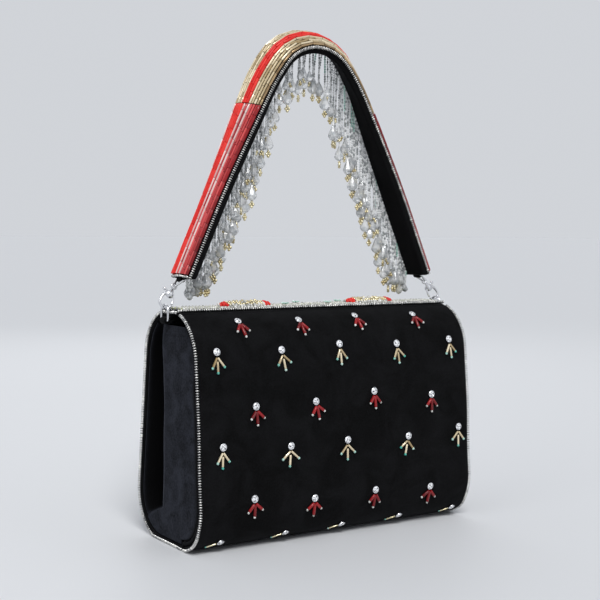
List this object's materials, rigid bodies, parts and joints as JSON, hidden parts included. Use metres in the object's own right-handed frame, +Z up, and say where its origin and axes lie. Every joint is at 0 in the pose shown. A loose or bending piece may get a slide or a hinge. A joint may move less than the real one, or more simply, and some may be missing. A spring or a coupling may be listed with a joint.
{
  "type": "flap bag",
  "caption": "Velvet flap bag with a rounded boarded body, pleated ends, ball-chain edging and an arched padded handle with bead fringe on lobster clasps",
  "frame": {"origin": "on the floor under the middle of the bag", "axes": "X along the bag, -Y out of the flap, +Z up the handle"},
  "size_m": [0.2514, 0.0977, 0.374],
  "materials": {
    "velvet": "black silk velvet over board",
    "gusset_velvet": "soft black-blue velvet",
    "lining_cloth": "satin lining",
    "fibre_board": "bare fibre board",
    "silver": "bright silver plating",
    "steel": "plain steel",
    "gold_beads": "pale gold bugle and seed beads",
    "red_beads": "coral-red bugle beads",
    "crystal_beads": "clear cut beads and drops"
  },
  "bodies": {
    "bag": {"body_shell": "velvet", "base_board": "fibre_board", "lining": "lining_cloth", "body_magnet": "steel", "gusset_left": "gusset_velvet", "gusset_right": "gusset_velvet", "ring_tab_left": "velvet", "ring_tab_right": "velvet", "d_ring_left": "silver", "d_ring_right": "silver", "body_chain_left": "silver", "body_chain_right": "silver", "top_chain_front": "silver", "top_chain_rear": "silver", "top_beads": "crystal_beads", "bead_cluster_left": "gold_beads", "bead_cluster_right": "gold_beads"},
    "flap": {"flap_panel": "velvet", "flap_magnet": "steel", "flap_chain_left": "silver", "flap_chain_right": "silver"},
    "handle": {"strap": "velvet", "strap_chain": "silver", "strap_beads_left": "red_beads", "strap_beads_top": "gold_beads", "strap_beads_right": "red_beads", "bead_fringe": "crystal_beads", "strap_ring_left": "silver", "strap_ring_right": "silver", "strap_tab_left": "velvet", "strap_tab_right": "velvet", "clasp_body_left": "silver", "clasp_body_right": "silver", "clasp_pin_left": "steel", "clasp_pin_right": "steel", "clasp_spring_left": "steel", "clasp_spring_right": "steel"},
    "trigger_left": {"clasp_trigger_left": "silver"},
    "trigger_right": {"clasp_trigger_right": "silver"}
  },
  "joints": [
    {"name": "flap_hinge", "type": "hinge", "parent": "bag", "child": "flap", "pos_m": [0, -0.0145, 0.16404], "axis": [-1, 0, 0], "range_deg": [0, 110]},
    {"name": "handle_swing", "type": "hinge", "parent": "bag", "child": "handle", "pos_m": [0, 0.002, 0.165], "axis": [-1, 0, 0], "range_deg": [-20, 20]},
    {"name": "trigger_left_turn", "type": "hinge", "parent": "handle", "child": "trigger_left", "pos_m": [-0.11477, 0.0046, 0.17626], "axis": [0, 0.9744, -0.225], "range_deg": [0, 22], "stiffness_Nm_per_rad": 0.01, "springref_deg": -17.19},
    {"name": "trigger_right_turn", "type": "hinge", "parent": "handle", "child": "trigger_right", "pos_m": [0.11477, 0.0046, 0.17626], "axis": [0, -0.9744, 0.225], "range_deg": [0, 22], "stiffness_Nm_per_rad": 0.01, "springref_deg": -17.19}
  ]
}
